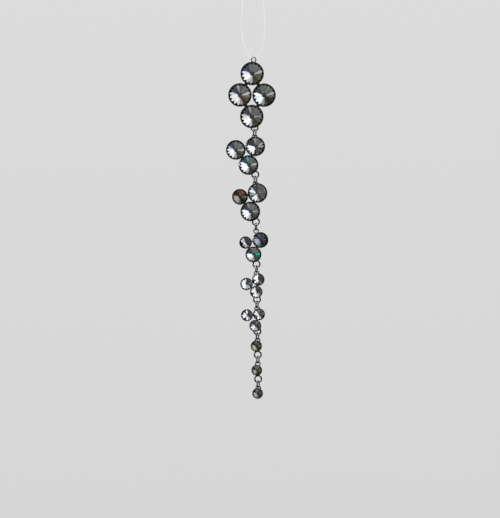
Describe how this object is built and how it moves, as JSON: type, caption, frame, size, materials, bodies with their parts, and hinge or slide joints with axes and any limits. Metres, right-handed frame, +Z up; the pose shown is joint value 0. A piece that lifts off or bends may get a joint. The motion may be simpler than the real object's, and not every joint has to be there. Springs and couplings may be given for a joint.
{
  "type": "icicle hanging ornament",
  "caption": "Crystal icicle ornament: pointed round stones in dark metal cups, in a crown, trios and single drops, chained by rings and links that swing under a loop of clear thread.",
  "frame": {"origin": "inside top of the thread loop, where a hook or a twig bears", "axes": "+Z up along the plumb line of the hanging chain, the crystals face -Y, +X to the viewer's right"},
  "size_m": [0.0275, 0.0052, 0.24],
  "materials": {
    "gunmetal": "black rhodium-like bright plating",
    "smoky_crystal": "polished facets, foiled back",
    "clear_thread": "clear nylon"
  },
  "bodies": {
    "hanger": {"hanging_thread": "clear_thread"},
    "crown": {"crown_cup_top": "gunmetal", "crown_cup_left": "gunmetal", "crown_cup_right": "gunmetal", "crown_cup_bottom": "gunmetal", "crown_stone_top": "smoky_crystal", "crown_stone_left": "smoky_crystal", "crown_stone_right": "smoky_crystal", "crown_stone_bottom": "smoky_crystal", "crown_fittings": "gunmetal"},
    "link_1": {"link_1": "gunmetal"},
    "trio_1": {"trio1_cup_right": "gunmetal", "trio1_cup_left": "gunmetal", "trio1_cup_low": "gunmetal", "trio1_stone_right": "smoky_crystal", "trio1_stone_left": "smoky_crystal", "trio1_stone_low": "smoky_crystal", "trio1_fittings": "gunmetal"},
    "link_2": {"link_2": "gunmetal"},
    "trio_2": {"trio2_cup_right": "gunmetal", "trio2_cup_left": "gunmetal", "trio2_cup_low": "gunmetal", "trio2_stone_right": "smoky_crystal", "trio2_stone_left": "smoky_crystal", "trio2_stone_low": "smoky_crystal", "trio2_fittings": "gunmetal"},
    "link_3": {"link_3": "gunmetal"},
    "trio_3": {"trio3_cup_right": "gunmetal", "trio3_cup_left": "gunmetal", "trio3_cup_low": "gunmetal", "trio3_stone_right": "smoky_crystal", "trio3_stone_left": "smoky_crystal", "trio3_stone_low": "smoky_crystal", "trio3_fittings": "gunmetal"},
    "link_4": {"link_4": "gunmetal"},
    "trio_4": {"trio4_cup_right": "gunmetal", "trio4_cup_left": "gunmetal", "trio4_cup_low": "gunmetal", "trio4_stone_right": "smoky_crystal", "trio4_stone_left": "smoky_crystal", "trio4_stone_low": "smoky_crystal", "trio4_fittings": "gunmetal"},
    "link_5": {"link_5": "gunmetal"},
    "trio_5": {"trio5_cup_right": "gunmetal", "trio5_cup_left": "gunmetal", "trio5_cup_low": "gunmetal", "trio5_stone_right": "smoky_crystal", "trio5_stone_left": "smoky_crystal", "trio5_stone_low": "smoky_crystal", "trio5_fittings": "gunmetal"},
    "link_6": {"link_6": "gunmetal"},
    "drop_1": {"drop1_cup": "gunmetal", "drop1_stone": "smoky_crystal"},
    "link_7": {"link_7": "gunmetal"},
    "drop_2": {"drop2_cup": "gunmetal", "drop2_stone": "smoky_crystal"},
    "link_8": {"link_8": "gunmetal"},
    "drop_3": {"drop3_cup": "gunmetal", "drop3_stone": "smoky_crystal"}
  },
  "joints": [
    {"name": "crown_side_swing", "type": "hinge", "parent": "hanger", "child": "crown", "pos_m": [0, 0, -0.05454], "axis": [0, 1, 0], "range_deg": [-45, 45]},
    {"name": "link_1_front_swing", "type": "hinge", "parent": "crown", "child": "link_1", "pos_m": [0, 0, -0.09356], "axis": [1, 0, 0], "range_deg": [-38, 38]},
    {"name": "trio_1_side_swing", "type": "hinge", "parent": "link_1", "child": "trio_1", "pos_m": [0, 0, -0.09669], "axis": [0, -1, 0], "range_deg": [-25, 25]},
    {"name": "link_2_front_swing", "type": "hinge", "parent": "trio_1", "child": "link_2", "pos_m": [0, 0, -0.11917], "axis": [-1, 0, 0], "range_deg": [-38, 38]},
    {"name": "trio_2_side_swing", "type": "hinge", "parent": "link_2", "child": "trio_2", "pos_m": [0, 0, -0.1223], "axis": [0, 1, 0], "range_deg": [-30, 30]},
    {"name": "link_3_front_swing", "type": "hinge", "parent": "trio_2", "child": "link_3", "pos_m": [0, 0, -0.145], "axis": [1, 0, 0], "range_deg": [-38, 38]},
    {"name": "trio_3_side_swing", "type": "hinge", "parent": "link_3", "child": "trio_3", "pos_m": [0, 0, -0.14813], "axis": [0, -1, 0], "range_deg": [-30, 30]},
    {"name": "link_4_front_swing", "type": "hinge", "parent": "trio_3", "child": "link_4", "pos_m": [0, 0, -0.16818], "axis": [-1, 0, 0], "range_deg": [-38, 38]},
    {"name": "trio_4_side_swing", "type": "hinge", "parent": "link_4", "child": "trio_4", "pos_m": [0, 0, -0.17131], "axis": [0, 1, 0], "range_deg": [-30, 30]},
    {"name": "link_5_front_swing", "type": "hinge", "parent": "trio_4", "child": "link_5", "pos_m": [0, 0, -0.18747], "axis": [1, 0, 0], "range_deg": [-38, 38]},
    {"name": "trio_5_side_swing", "type": "hinge", "parent": "link_5", "child": "trio_5", "pos_m": [0, 0, -0.19061], "axis": [0, -1, 0], "range_deg": [-30, 30]},
    {"name": "link_6_front_swing", "type": "hinge", "parent": "trio_5", "child": "link_6", "pos_m": [0, 0, -0.20492], "axis": [-1, 0, 0], "range_deg": [-38, 38]},
    {"name": "drop_1_side_swing", "type": "hinge", "parent": "link_6", "child": "drop_1", "pos_m": [0, 0, -0.20805], "axis": [0, 1, 0], "range_deg": [-30, 30]},
    {"name": "link_7_front_swing", "type": "hinge", "parent": "drop_1", "child": "link_7", "pos_m": [0, 0, -0.21769], "axis": [1, 0, 0], "range_deg": [-38, 38]},
    {"name": "drop_2_side_swing", "type": "hinge", "parent": "link_7", "child": "drop_2", "pos_m": [0, 0, -0.22083], "axis": [0, -1, 0], "range_deg": [-30, 30]},
    {"name": "link_8_front_swing", "type": "hinge", "parent": "drop_2", "child": "link_8", "pos_m": [0, 0, -0.23101], "axis": [-1, 0, 0], "range_deg": [-38, 38]},
    {"name": "drop_3_side_swing", "type": "hinge", "parent": "link_8", "child": "drop_3", "pos_m": [0, 0, -0.23414], "axis": [0, 1, 0], "range_deg": [-20, 20]}
  ]
}
